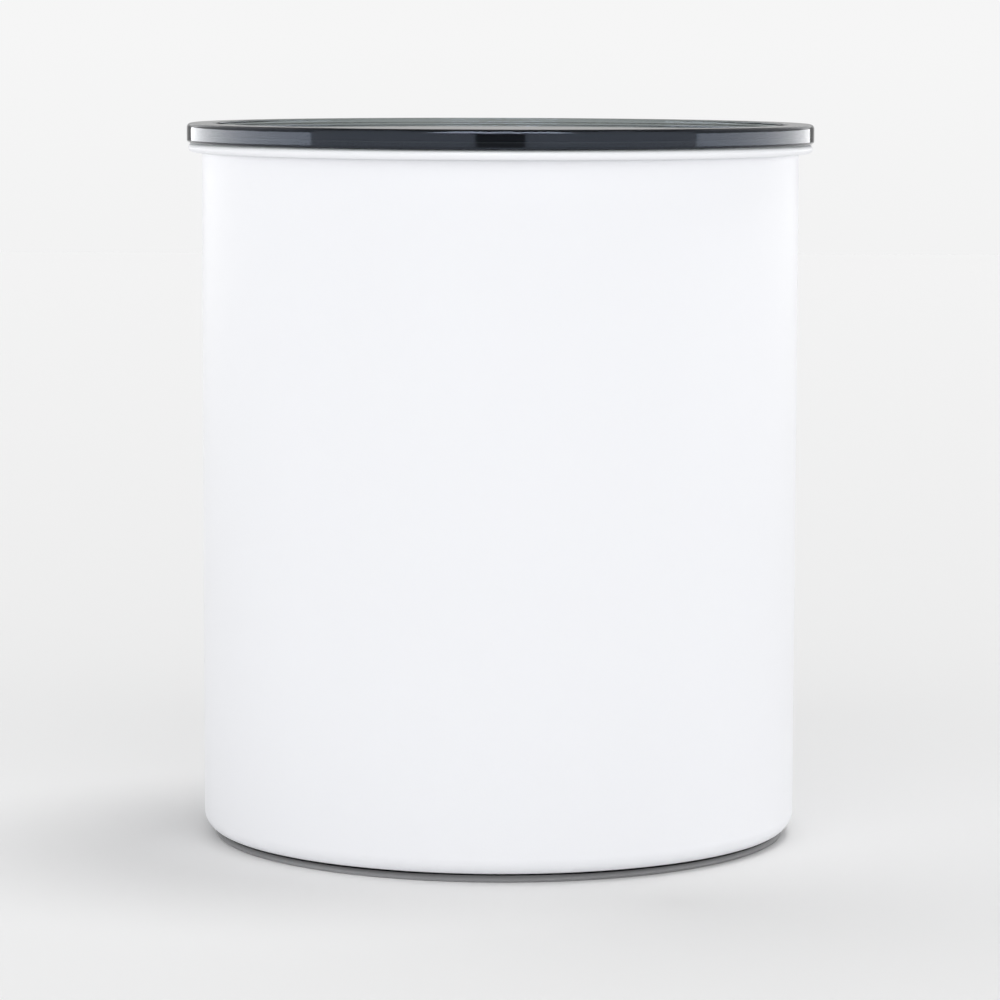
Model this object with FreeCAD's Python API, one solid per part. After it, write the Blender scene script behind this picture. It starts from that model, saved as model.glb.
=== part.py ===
"""Round coffee canister with a press-down inner lid.

A white coated steel can stands on a bare steel base and is closed by a smoke-tinted outer lid.
Inside, a plunger with a wiper seal slides down onto the coffee to push the air out. Its folding
handle works a valve through a cam: folded flat the cam shuts the valve, and upright it lets a
spring lift the valve, so that air can pass.

Millimetres, +Z up. The origin is the centre of the base, on the surface that the canister stands on.
The handle folds towards +Y and turns about an axis along X.
"""

import FreeCAD, Part
import math
import os

# The can: a drawn steel shell with a rolled rim
HEIGHT = 210.0  # floor to the top of the outer lid
BODY_DIAMETER = 175.2  # outside of the wall
WALL = 0.7  # sheet thickness
CORNER_RADIUS = 5.0  # outside, from the wall to the floor
CORNER_TURN = 58.0  # degrees that the corner bends before it meets the floor in a crisp edge
ROLL_REACH = 4.0  # rolled rim past the wall
ROLL_HEIGHT = 2.5
ROLL_GAP = 0.5  # end of the roll to the wall

# The base: a pressed pan under the can's floor
BASE_HEIGHT = 2.7  # strip of bare steel that shows under the can
BASE_SHEET = 0.6
BASE_MARGIN = 0.8  # base inside the can's lower edge
BASE_REVEAL = 0.6  # shadow gap between the upturned edge and the can
BASE_ROUND = 0.7  # outside bend from the foot to the upturned edge
FOOT_WIDTH = 10.0  # flat ring that the canister stands on
FOOT_SLOPE = 2.0  # radial run of the step from the ring to the raised middle

# The outer lid
LID_RIM_HEIGHT = 5.8  # polished edge
LID_RIM_WIDTH = 7.6  # raised ring round the sunk panel
LID_RECESS = 1.3  # depth of the sunk panel
LID_PANEL = 2.2  # panel thickness
LID_EDGE_ROUND = 1.3  # top of the polished edge
LID_FOOT_ROUND = 1.4  # bottom of the polished edge
LID_SOFT_ROUND = 0.4  # edges of the recess and of the plug's end
LID_OVERHANG = 0.4  # past the rolled rim
LID_SEAT_GAP = 0.1  # over the rolled rim
PLUG_DEPTH = 9.5  # ring that reaches into the mouth
PLUG_WALL = 2.6
PLUG_CLEARANCE = 1.2  # from the plug to the mouth
GASKET_GROOVE = 0.8  # depth of the gasket's groove
GASKET_HEIGHT = 3.0
GASKET_RISE = 2.1  # plug end to the gasket
SEAL_GAP = 0.15  # from a seal to the can wall

# The plunger's dish and its wiper seal
PLUNGER_HEIGHT = 26.5
PLUNGER_CLEARANCE = 1.2  # from the dish's rim to the can wall
PLATE = 3.0  # dish floor
COLLAR_WALL = 2.2
COLLAR_STEP = 1.4  # rim past the collar's outside
RIM_HEIGHT = 2.5
SEAL_SEAT = 10.4  # height of the wiper's groove
SEAL_SLEEVE = 1.0  # wiper sleeve thickness
SEAL_GROOVE = 0.8  # groove depth in the collar
WIPER_THICKNESS = 0.9  # one lip of the wiper
WIPER_RISE = 2.2  # lip tip above its root
RIB_COUNT = 8
RIB_THICKNESS = 1.8
RIB_CLEARANCE = 0.9  # rib top under the valve cap's skirt

# The valve, from the dish floor upwards
ORIFICE_RADIUS = 6.0
SEAT_LIP = 1.5  # width of the raised seat
SEAT_HEIGHT = 2.5
SEAT_GAP = 0.1  # between the shut seal and the seat
SEAL_DISC = 1.4  # thickness of the poppet's seal
SEAL_OVERLAP = 1.1  # seal past the seat
POPPET_FLANGE = 1.5
POPPET_NECK = 3.0  # radius that the seal sits on
HEAD_GAP = 1.7  # air gap round the button that holds the seal on
HEAD_HEIGHT = 1.0
STEM_RADIUS = 4.0
STEM_FIT = 0.25  # stem in the cap
VALVE_LIFT = 2.5
AIR_GAP = 1.5  # round the poppet's flange
CAP_CLEARANCE = 0.4  # open poppet to the cap
CAP_THICKNESS = 2.2
CAP_SKIRT = 2.4  # skirt thickness
CAP_SKIRT_LENGTH = 4.0
CAP_FIT = 0.1  # skirt round the well
CAP_MARGIN = 1.2  # cap edge past the ears
VENT_COUNT = 6
VENT_RADIUS = 1.6
STEM_PROUD = 1.0  # shut stem above the cap
WELL_WALL = 3.0
SCREEN_LEDGE = 4.0  # screen past the orifice
SCREEN_THICKNESS = 1.2
SCREEN_FIT = 0.1
SCREEN_HOLE = 0.75  # radius
SCREEN_PITCH = 2.2  # between rings of holes
SPRING_WIRE = 0.7  # diameter
SPRING_TURNS = 2.5
SPRING_CLEARANCE = 1.35  # from the seal to the spring
SPRING_INSET = 1.2  # wire centre inside the flange's edge
SPRING_SEAT_GAP = 0.05

# The handle, its cam and its pin
PIN_RADIUS = 1.5
PIN_FIT = 0.06  # handle on the pin
PIN_PRESS = 0.01  # pin in the ears
BARREL_RADIUS = 4.2
CAM_WIDTH = 9.0
CAM_GAP = 0.1  # cam to stem
CAM_ROUND = 1.0
EAR_GAP = 0.3  # barrel to ear
EAR_THICKNESS = 4.0
EAR_RADIUS = 4.6
EAR_FOOT = 11.0  # ear width where it meets the cap
HANDLE_REACH = 44.0  # pivot to the outer edge of the grip
HANDLE_WIDTH = 64.0
HANDLE_THICKNESS = 6.5
HANDLE_ARM = 5.0
HANDLE_SIDE = 7.0  # loop width beside the fingers
HANDLE_GRIP = 7.5
HANDLE_WEB = 9.0  # pivot to the finger gap
HANDLE_SHOULDER = 27.0  # pivot to the end of the flare
HANDLE_NECK_GAP = 0.5  # flare past the ears
HANDLE_CORNER = 11.0
HANDLE_INNER_CORNER = 6.0
HANDLE_ROUND = 2.2  # edge rounding
HEADROOM = 1.4  # raised handle to the outer lid

# Sizes worked out from the ones above
body_radius = BODY_DIAMETER / 2
bore_radius = body_radius - WALL
corner_centre_radius = body_radius - CORNER_RADIUS
corner_rise = CORNER_RADIUS * math.sin(math.radians(CORNER_TURN))
corner_edge = corner_centre_radius + CORNER_RADIUS * math.cos(math.radians(CORNER_TURN))
roll_edge = body_radius + ROLL_REACH
lid_radius = roll_edge + LID_OVERHANG
lid_under = HEIGHT - LID_RIM_HEIGHT
roll_top = lid_under - LID_SEAT_GAP
panel_top = HEIGHT - LID_RECESS
panel_under = panel_top - LID_PANEL
plug_radius = bore_radius - PLUG_CLEARANCE
plug_end = lid_under - PLUG_DEPTH
seal_radius = bore_radius - SEAL_GAP

rim_radius = bore_radius - PLUNGER_CLEARANCE
collar_radius = rim_radius - COLLAR_STEP
groove_radius = collar_radius - SEAL_GROOVE
dish_radius = groove_radius - COLLAR_WALL + SEAL_GROOVE
seat_top = PLATE + SEAT_HEIGHT
seal_disc_under = seat_top + SEAT_GAP
flange_under = seal_disc_under + SEAL_DISC
flange_top = flange_under + POPPET_FLANGE
cap_under = flange_top + VALVE_LIFT + CAP_CLEARANCE
cap_top = cap_under + CAP_THICKNESS
stem_top = cap_top + STEM_PROUD
cam_radius = BARREL_RADIUS + VALVE_LIFT
pivot_height = stem_top + CAM_GAP + cam_radius
seal_disc_radius = ORIFICE_RADIUS + SEAT_LIP + SEAL_OVERLAP
spring_radius = seal_disc_radius + SPRING_CLEARANCE + SPRING_WIRE / 2
flange_radius = spring_radius + SPRING_INSET
well_bore = flange_radius + AIR_GAP
well_radius = well_bore + WELL_WALL
cap_radius = well_radius + CAP_FIT + CAP_SKIRT
ear_outer = cap_radius - CAP_MARGIN
ear_inner = ear_outer - EAR_THICKNESS
barrel_length = 2 * (ear_inner - EAR_GAP)
head_radius = ORIFICE_RADIUS - HEAD_GAP
screen_radius = ORIFICE_RADIUS + SCREEN_LEDGE
plunger_level = panel_under - HEADROOM - HANDLE_REACH - pivot_height

UP = FreeCAD.Vector(0, 0, 1)
ORIGIN = FreeCAD.Vector(0, 0, 0)


def rz(radius, height):
    """A point of a profile that is turned about the Z axis."""
    return FreeCAD.Vector(radius, 0, height)


def line(start, end):
    return Part.LineSegment(start, end).toShape()


def arc(start, through, end):
    return Part.Arc(start, through, end).toShape()


def on_circle(centre, radius, degrees):
    """The point of a circle in the XZ plane at an angle from +X."""
    angle = math.radians(degrees)
    return centre + FreeCAD.Vector(radius * math.cos(angle), 0, radius * math.sin(angle))


def rounded_wire(corners):
    """A closed wire through (point, radius) corners, each rounded as far as its two sides have room."""
    room = 0.45  # share of a side that one rounding may use
    pieces = []
    for i, (corner, radius) in enumerate(corners):
        back = corners[i - 1][0] - corner
        ahead = corners[(i + 1) % len(corners)][0] - corner
        half = back.getAngle(ahead) / 2
        reach = min(radius / math.tan(half), room * back.Length, room * ahead.Length)
        back.normalize()
        ahead.normalize()
        inward = (back + ahead).normalize()
        to_arc = reach * (1 / math.cos(half) - math.tan(half))
        start = corner + back * reach
        end = corner + ahead * reach
        pieces.append((start, corner + inward * to_arc, end, radius > 0))
    edges = []
    for i, (start, middle, end, is_round) in enumerate(pieces):
        if is_round:
            edges.append(arc(start, middle, end))
        edges.append(line(end, pieces[(i + 1) % len(pieces)][0]))
    return Part.Wire(edges)


def turned(wire):
    """The solid that a profile makes when it is turned about the Z axis."""
    return Part.Face(wire).revolve(ORIGIN, UP, 360)


def turned_profile(points, lift=0.0):
    """A turned solid from (radius, height, rounding) corners, raised by lift."""
    return turned(rounded_wire([(rz(r, h + lift), rounding) for r, h, rounding in points]))


def around(shape, count, start=0.0):
    """Copies of a shape spaced evenly about the Z axis."""
    copies = []
    for i in range(count):
        copy = shape.copy()
        copy.rotate(ORIGIN, UP, start + 360.0 * i / count)
        copies.append(copy)
    return copies


def canister_shell():
    """Drawn steel can: floor, rounded corner, straight wall and a rim rolled outwards and pressed flat."""
    floor_under = BASE_HEIGHT
    floor_top = BASE_HEIGHT + WALL
    corner = rz(corner_centre_radius, BASE_HEIGHT + corner_rise)
    inner_corner = CORNER_RADIUS - WALL
    inner_turn = math.degrees(math.asin((corner_rise - WALL) / inner_corner))
    roll = ROLL_HEIGHT / 2
    inner_roll = roll - WALL
    roll_stop = body_radius + ROLL_GAP
    bend = rz(bore_radius + roll, roll_top - roll)
    fold = rz(roll_edge - roll, roll_top - roll)
    points = {
        "floor_in": rz(0, floor_top),
        "corner_in": on_circle(corner, inner_corner, -inner_turn),
        "wall_in": rz(bore_radius, corner.z),
        "bend_in": rz(bore_radius, bend.z),
        "bend_top": on_circle(bend, roll, 90),
        "fold_top": on_circle(fold, roll, 90),
        "fold_low": on_circle(fold, roll, -90),
        "stop_low": rz(roll_stop, fold.z - roll),
        "stop_high": rz(roll_stop, fold.z - inner_roll),
        "fold_low_in": on_circle(fold, inner_roll, -90),
        "fold_top_in": on_circle(fold, inner_roll, 90),
        "bend_top_in": on_circle(bend, inner_roll, 90),
        "bend_out": rz(body_radius, bend.z),
        "wall_out": rz(body_radius, corner.z),
        "corner_out": on_circle(corner, CORNER_RADIUS, -CORNER_TURN),
        "floor_out": rz(0, floor_under),
    }
    edges = [
        line(points["floor_in"], points["corner_in"]),
        arc(points["corner_in"], on_circle(corner, inner_corner, -inner_turn / 2), points["wall_in"]),
        line(points["wall_in"], points["bend_in"]),
        arc(points["bend_in"], on_circle(bend, roll, 135), points["bend_top"]),
        line(points["bend_top"], points["fold_top"]),
        arc(points["fold_top"], on_circle(fold, roll, 0), points["fold_low"]),
        line(points["fold_low"], points["stop_low"]),
        line(points["stop_low"], points["stop_high"]),
        line(points["stop_high"], points["fold_low_in"]),
        arc(points["fold_low_in"], on_circle(fold, inner_roll, 0), points["fold_top_in"]),
        line(points["fold_top_in"], points["bend_top_in"]),
        arc(points["bend_top_in"], on_circle(bend, inner_roll, 135), points["bend_out"]),
        line(points["bend_out"], points["wall_out"]),
        arc(points["wall_out"], on_circle(corner, CORNER_RADIUS, -CORNER_TURN / 2), points["corner_out"]),
        line(points["corner_out"], points["floor_out"]),
        line(points["floor_out"], points["floor_in"]),
    ]
    return turned(Part.Wire(edges))


def base_plate():
    """Pressed pan of bare steel: a flat foot ring with an upturned edge and a raised middle."""
    edge = corner_edge - BASE_MARGIN
    edge_top = BASE_HEIGHT - BASE_REVEAL
    ring = edge - FOOT_WIDTH
    step = ring - FOOT_SLOPE
    return turned_profile(
        [
            (0, BASE_HEIGHT, 0),
            (step, BASE_HEIGHT, 0),
            (ring, BASE_SHEET, 0),
            (edge - BASE_SHEET, BASE_SHEET, BASE_ROUND - BASE_SHEET),
            (edge - BASE_SHEET, edge_top, 0),
            (edge, edge_top, BASE_SHEET / 3),
            (edge, 0, BASE_ROUND),
            (ring - BASE_SHEET, 0, 0),
            (step - BASE_SHEET, BASE_HEIGHT - BASE_SHEET, 0),
            (0, BASE_HEIGHT - BASE_SHEET, 0),
        ]
    )


def outer_lid():
    """Tinted lid: a polished rim that sits on the rolled edge, a sunk panel and a grooved plug."""
    groove_low = plug_end + GASKET_RISE
    groove_high = groove_low + GASKET_HEIGHT
    groove_bottom = plug_radius - GASKET_GROOVE
    rim_inside = lid_radius - LID_RIM_WIDTH
    return turned_profile(
        [
            (0, panel_under, 0),
            (plug_radius - PLUG_WALL, panel_under, PLUG_WALL / 2),
            (plug_radius - PLUG_WALL, plug_end, LID_SOFT_ROUND),
            (plug_radius, plug_end, LID_SOFT_ROUND),
            (plug_radius, groove_low, 0),
            (groove_bottom, groove_low, 0),
            (groove_bottom, groove_high, 0),
            (plug_radius, groove_high, 0),
            (plug_radius, lid_under, 0),
            (lid_radius, lid_under, LID_FOOT_ROUND),
            (lid_radius, HEIGHT, LID_EDGE_ROUND),
            (rim_inside, HEIGHT, LID_SOFT_ROUND),
            (rim_inside, panel_top, LID_SOFT_ROUND),
            (0, panel_top, 0),
        ]
    )


def lid_gasket():
    """Silicone ring in the plug's groove, rounded where it meets the mouth."""
    low = plug_end + GASKET_RISE
    high = low + GASKET_HEIGHT
    shoulder = GASKET_HEIGHT / 5
    inner = plug_radius - GASKET_GROOVE
    return turned_profile(
        [
            (inner, low, 0),
            (plug_radius, low, 0),
            (seal_radius, low + shoulder, shoulder),
            (seal_radius, high - shoulder, shoulder),
            (plug_radius, high, 0),
            (inner, high, 0),
        ]
    )


def rib():
    """One radial stiffener on the dish floor, from the valve well to the collar."""
    inner = (well_radius + well_bore) / 2
    outer = dish_radius + COLLAR_WALL / 2
    top = cap_under - CAP_SKIRT_LENGTH - RIB_CLEARANCE
    low_top = (top + PLATE) / 2
    buried = PLATE / 2
    profile = [
        (rz(inner, buried), 0),
        (rz(outer, buried), 0),
        (rz(outer, low_top), 0),
        (rz(inner, top), 0),
    ]
    web = Part.Face(rounded_wire(profile)).extrude(FreeCAD.Vector(0, RIB_THICKNESS, 0))
    web.translate(FreeCAD.Vector(0, -RIB_THICKNESS / 2, plunger_level))
    return web


def plunger_dish():
    """Moulded piston: ribbed floor, collar with the wiper's groove, and the valve's well and seat."""
    seat_low = RIM_HEIGHT
    seat_high = seat_low + SEAL_SEAT
    guide_high = seat_high + RIM_HEIGHT
    rim_low = PLUNGER_HEIGHT - RIM_HEIGHT
    soft = RIM_HEIGHT / 3
    dish = turned_profile(
        [
            (ORIFICE_RADIUS, SCREEN_THICKNESS, 0),
            (screen_radius + SCREEN_FIT, SCREEN_THICKNESS, 0),
            (screen_radius + SCREEN_FIT, 0, 0),
            (rim_radius, 0, RIM_HEIGHT / 2),
            (rim_radius, seat_low, 0),
            (groove_radius, seat_low, 0),
            (groove_radius, seat_high, 0),
            (rim_radius, seat_high, soft),
            (rim_radius, guide_high, soft),
            (collar_radius, guide_high, soft),
            (collar_radius, rim_low, soft),
            (rim_radius, rim_low, soft),
            (rim_radius, PLUNGER_HEIGHT, soft),
            (dish_radius, PLUNGER_HEIGHT, soft),
            (dish_radius, PLATE, PLATE),
            (well_radius, PLATE, PLATE / 2),
            (well_radius, cap_under, 0),
            (well_bore, cap_under, 0),
            (well_bore, PLATE, 0),
            (ORIFICE_RADIUS + SEAT_LIP, PLATE, 0),
            (ORIFICE_RADIUS + SEAT_LIP, seat_top, SEAT_LIP / 4),
            (ORIFICE_RADIUS, seat_top, SEAT_LIP / 4),
        ],
        plunger_level,
    )
    return dish.fuse(around(rib(), RIB_COUNT, 180.0 / RIB_COUNT)).removeSplitter()


def wiper_seal():
    """Silicone sleeve in the collar's groove with two lips that wipe the can wall."""
    low = RIM_HEIGHT
    high = low + SEAL_SEAT
    skin = groove_radius + SEAL_SLEEVE
    lip_roots = (low + SEAL_SEAT / 5, low + SEAL_SEAT * 3 / 5)
    soft = WIPER_THICKNESS / 3
    points = [(groove_radius, low, 0), (skin, low, 0)]
    for root in lip_roots:
        points += [
            (skin, root, 0),
            (seal_radius, root + WIPER_RISE - WIPER_THICKNESS, soft),
            (seal_radius, root + WIPER_RISE, soft),
            (skin, root + WIPER_THICKNESS, 0),
        ]
    points += [(skin, high, 0), (groove_radius, high, 0)]
    return turned_profile(points, plunger_level)


def bean_screen():
    """Perforated disc under the orifice that keeps beans and grounds out of the valve."""
    disc = turned_profile(
        [
            (0, 0, 0),
            (screen_radius, 0, 0),
            (screen_radius, SCREEN_THICKNESS, 0),
            (0, SCREEN_THICKNESS, 0),
        ],
        plunger_level,
    )
    ring_count = int((ORIFICE_RADIUS - SCREEN_HOLE) / SCREEN_PITCH)
    base = FreeCAD.Vector(0, 0, plunger_level)
    holes = [Part.makeCylinder(SCREEN_HOLE, SCREEN_THICKNESS, base)]
    for ring in range(1, ring_count + 1):
        place = base + FreeCAD.Vector(ring * SCREEN_PITCH, 0, 0)
        hole = Part.makeCylinder(SCREEN_HOLE, SCREEN_THICKNESS, place)
        holes += around(hole, 6 * ring)
    return disc.cut(holes)


def ear(side):
    """One of the two lugs on the valve cap that carry the handle's pin."""
    half_foot = EAR_FOOT / 2
    x = side * ear_inner

    def yz(y, z):
        return FreeCAD.Vector(x, y, plunger_level + z)

    buried = cap_top - CAP_THICKNESS / 2
    edges = [
        line(yz(-half_foot, buried), yz(half_foot, buried)),
        line(yz(half_foot, buried), yz(half_foot, cap_top)),
        line(yz(half_foot, cap_top), yz(EAR_RADIUS, pivot_height)),
        arc(
            yz(EAR_RADIUS, pivot_height),
            yz(0, pivot_height + EAR_RADIUS),
            yz(-EAR_RADIUS, pivot_height),
        ),
        line(yz(-EAR_RADIUS, pivot_height), yz(-half_foot, cap_top)),
        line(yz(-half_foot, cap_top), yz(-half_foot, buried)),
    ]
    return Part.Face(Part.Wire(edges)).extrude(FreeCAD.Vector(side * EAR_THICKNESS, 0, 0))


def pin_bore(radius, length):
    """A cylinder on the handle's axis, centred on the canister's axis."""
    start = FreeCAD.Vector(-length / 2, 0, plunger_level + pivot_height)
    return Part.makeCylinder(radius, length, start, FreeCAD.Vector(1, 0, 0))


def valve_cap():
    """Cap pressed over the valve well: guides the stem, lets air out and carries the handle in two ears."""
    skirt_end = cap_under - CAP_SKIRT_LENGTH
    skirt_bore = cap_radius - CAP_SKIRT
    guide = STEM_RADIUS + STEM_FIT
    cap = turned_profile(
        [
            (guide, cap_under, 0),
            (skirt_bore, cap_under, 0),
            (skirt_bore, skirt_end, 0),
            (cap_radius, skirt_end, CAP_SKIRT / 4),
            (cap_radius, cap_top, CAP_SKIRT / 4),
            (guide, cap_top, 0),
        ],
        plunger_level,
    )
    vent_circle = (guide + flange_radius) / 2
    vent_base = FreeCAD.Vector(vent_circle, 0, plunger_level + cap_under)
    vent = Part.makeCylinder(VENT_RADIUS, CAP_THICKNESS, vent_base)
    cap = cap.cut(around(vent, VENT_COUNT, 180.0 / VENT_COUNT))
    cap = cap.fuse([ear(-1), ear(1)]).removeSplitter()
    return cap.cut(pin_bore(PIN_RADIUS + PIN_PRESS, 2 * cap_radius))


def valve_poppet():
    """Moving part of the valve: stem, flange that the spring lifts, and a button that holds the seal."""
    head_under = seal_disc_under - HEAD_HEIGHT
    return turned_profile(
        [
            (0, head_under, 0),
            (head_radius, head_under, HEAD_HEIGHT / 3),
            (head_radius, seal_disc_under, 0),
            (POPPET_NECK, seal_disc_under, 0),
            (POPPET_NECK, flange_under, 0),
            (flange_radius, flange_under, 0),
            (flange_radius, flange_top, POPPET_FLANGE / 3),
            (STEM_RADIUS, flange_top, 0),
            (STEM_RADIUS, stem_top, STEM_PROUD / 3),
            (0, stem_top, 0),
        ],
        plunger_level,
    )


def poppet_seal():
    """Silicone washer on the poppet that shuts on the seat."""
    return turned_profile(
        [
            (POPPET_NECK, seal_disc_under, 0),
            (seal_disc_radius, seal_disc_under, 0),
            (seal_disc_radius, flange_under, 0),
            (POPPET_NECK, flange_under, 0),
        ],
        plunger_level,
    )


def biarc(start, start_way, end, end_way):
    """Two arcs that join two points and leave and arrive along unit directions."""
    span = end - start
    ways = start_way + end_way
    square = 2 * (1 - start_way.dot(end_way))
    along = span.dot(ways)
    reach = (math.sqrt(along * along + square * span.dot(span)) - along) / square
    first = start + start_way * reach
    last = end - end_way * reach
    joint = (first + last) * 0.5
    return [tangent_arc(start, first, joint), tangent_arc(joint, last, end)]


def tangent_arc(start, apex, end):
    """The arc from start to end whose end tangents meet at apex."""
    middle = (start + end) * 0.5
    rise = apex - middle
    half_chord = (end - start).Length / 2
    sagitta = half_chord * math.tan(math.atan2(rise.Length, half_chord) / 2)
    return arc(start, middle + rise.normalize() * sagitta, end)


def least_self_gap(path, turns, diameter):
    """Least gap between the turns of a wound wire, measured on points of its path."""
    per_turn = 60
    points = path.discretize(int(per_turn * turns) + 1)
    apart = per_turn // 2
    nearest = diameter * len(points)
    for i, here in enumerate(points):
        for there in points[i + apart :]:
            nearest = min(nearest, (there - here).Length)
    return nearest - diameter


def valve_spring():
    """Open coil spring round the seat that lifts the poppet when the cam lets it."""
    low = plunger_level + PLATE + SPRING_SEAT_GAP + SPRING_WIRE / 2
    high = plunger_level + flange_under - SPRING_SEAT_GAP - SPRING_WIRE / 2
    pitch = (high - low) / SPRING_TURNS
    steps = math.ceil(4 * SPRING_TURNS)
    turn = 2 * math.pi * SPRING_TURNS / steps

    def point(angle):
        rise = pitch * angle / (2 * math.pi)
        x = spring_radius * math.cos(angle)
        y = spring_radius * math.sin(angle)
        return FreeCAD.Vector(x, y, low + rise)

    def way(angle):
        slope = pitch / (2 * math.pi)
        x = -spring_radius * math.sin(angle)
        y = spring_radius * math.cos(angle)
        return FreeCAD.Vector(x, y, slope).normalize()

    edges = []
    for i in range(steps):
        a = i * turn
        b = a + turn
        edges += biarc(point(a), way(a), point(b), way(b))
    path = Part.Wire(edges)
    print(f"valve_spring: least gap to itself {least_self_gap(path, SPRING_TURNS, SPRING_WIRE):.2f} mm")
    section = Part.Wire(Part.Circle(point(0), way(0), SPRING_WIRE / 2).toShape())
    return path.makePipeShell([section], True, False)


def cam():
    """Cam in the middle of the handle's barrel. Its working flank is an involute, so that a flat stem
    rises in step with the handle: the lobe presses it down when folded, the barrel frees it upright."""
    rate = VALVE_LIFT / (math.pi / 2)
    x = -CAM_WIDTH / 2

    def yz(y, z):
        return FreeCAD.Vector(x, y, plunger_level + pivot_height + z)

    def flank(angle):
        reach = cam_radius - rate * angle
        y = rate * math.cos(angle) - reach * math.sin(angle)
        z = -rate * math.sin(angle) - reach * math.cos(angle)
        return yz(y, z)

    flank_steps = 8
    working = Part.BSplineCurve()
    working.interpolate([flank(math.pi / 2 * i / flank_steps) for i in range(flank_steps + 1)])
    round_centre = yz(BARREL_RADIUS - CAM_ROUND, CAM_ROUND - cam_radius)
    round_reach = CAM_ROUND * math.sqrt(0.5)
    edges = [
        line(yz(BARREL_RADIUS, 0), yz(BARREL_RADIUS, CAM_ROUND - cam_radius)),
        arc(
            yz(BARREL_RADIUS, CAM_ROUND - cam_radius),
            round_centre + FreeCAD.Vector(0, round_reach, -round_reach),
            yz(BARREL_RADIUS - CAM_ROUND, -cam_radius),
        ),
        line(yz(BARREL_RADIUS - CAM_ROUND, -cam_radius), flank(0)),
        working.toShape(),
        line(flank(math.pi / 2), yz(-BARREL_RADIUS, 0)),
        arc(yz(-BARREL_RADIUS, 0), yz(0, BARREL_RADIUS), yz(BARREL_RADIUS, 0)),
    ]
    return Part.Face(Part.Wire(edges)).extrude(FreeCAD.Vector(CAM_WIDTH, 0, 0))


def handle_loop():
    """Flat stirrup that the fingers pull, flared from the barrel to a wide grip, with every edge rounded."""
    low = plunger_level + pivot_height - HANDLE_THICKNESS / 2
    neck = EAR_FOOT / 2 + HANDLE_NECK_GAP
    half_barrel = barrel_length / 2
    half_width = HANDLE_WIDTH / 2
    inner_low = half_barrel - HANDLE_ARM
    inner_high = half_width - HANDLE_SIDE
    grip_inside = HANDLE_REACH - HANDLE_GRIP

    def slab(right_side):
        left_side = [(-x, y, rounding) for x, y, rounding in reversed(right_side)]
        corners = [(FreeCAD.Vector(x, y, low), rounding) for x, y, rounding in right_side + left_side]
        return Part.Face(rounded_wire(corners)).extrude(FreeCAD.Vector(0, 0, HANDLE_THICKNESS))

    outside = slab(
        [
            (half_barrel, 0, 0),
            (half_barrel, neck, HANDLE_ARM / 2),
            (half_width, HANDLE_SHOULDER, HANDLE_CORNER),
            (half_width, HANDLE_REACH, HANDLE_CORNER),
        ]
    )
    window = slab(
        [
            (inner_low, HANDLE_WEB, HANDLE_ARM / 2),
            (inner_high, HANDLE_SHOULDER, HANDLE_INNER_CORNER),
            (inner_high, grip_inside, HANDLE_INNER_CORNER),
        ]
    )
    loop = outside.cut(window)
    return loop.makeFillet(HANDLE_ROUND, [e for e in loop.Edges if is_flat_outline(e, low)])


def is_flat_outline(edge, low):
    """True for an edge of the loop's top or bottom outline that lies clear of the barrel."""
    box = edge.BoundBox
    level = box.ZLength < 1e-6
    at_face = min(abs(box.ZMin - low), abs(box.ZMin - low - HANDLE_THICKNESS)) < 1e-6
    return level and at_face and box.YMin > EAR_FOOT / 2 + HANDLE_NECK_GAP


def pull_handle():
    """Folding handle: stirrup, barrel and valve cam in one moulding, bored for the pin."""
    barrel = pin_bore(BARREL_RADIUS, barrel_length)
    handle = handle_loop().fuse([barrel, cam()]).removeSplitter()
    return handle.cut(pin_bore(PIN_RADIUS + PIN_FIT, barrel_length))


def handle_pin():
    """Steel pin that the handle turns on, held in the cap's ears."""
    pin = pin_bore(PIN_RADIUS, 2 * ear_outer)
    ends = [e for e in pin.Edges if isinstance(e.Curve, Part.Circle)]
    return pin.makeChamfer(PIN_RADIUS / 5, ends)


def main():
    pieces = [
        canister_shell,
        base_plate,
        outer_lid,
        lid_gasket,
        plunger_dish,
        wiper_seal,
        bean_screen,
        valve_cap,
        valve_poppet,
        poppet_seal,
        valve_spring,
        pull_handle,
        handle_pin,
    ]
    os.makedirs("parts", exist_ok=True)
    for make in pieces:
        shape = make()
        box = shape.optimalBoundingBox()
        print(
            f"{make.__name__}: {len(shape.Solids)} solid, valid {shape.isValid()},",
            f"{shape.Volume / 1000:.2f} cm3, z {box.ZMin:.2f} to {box.ZMax:.2f}",
        )
        shape.exportStep(f"parts/{make.__name__}.step")
    print(f"plunger level {plunger_level:.2f}, pivot {plunger_level + pivot_height:.2f}")


main()
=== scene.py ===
import math

import bpy
from mathutils import Matrix, Vector


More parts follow.
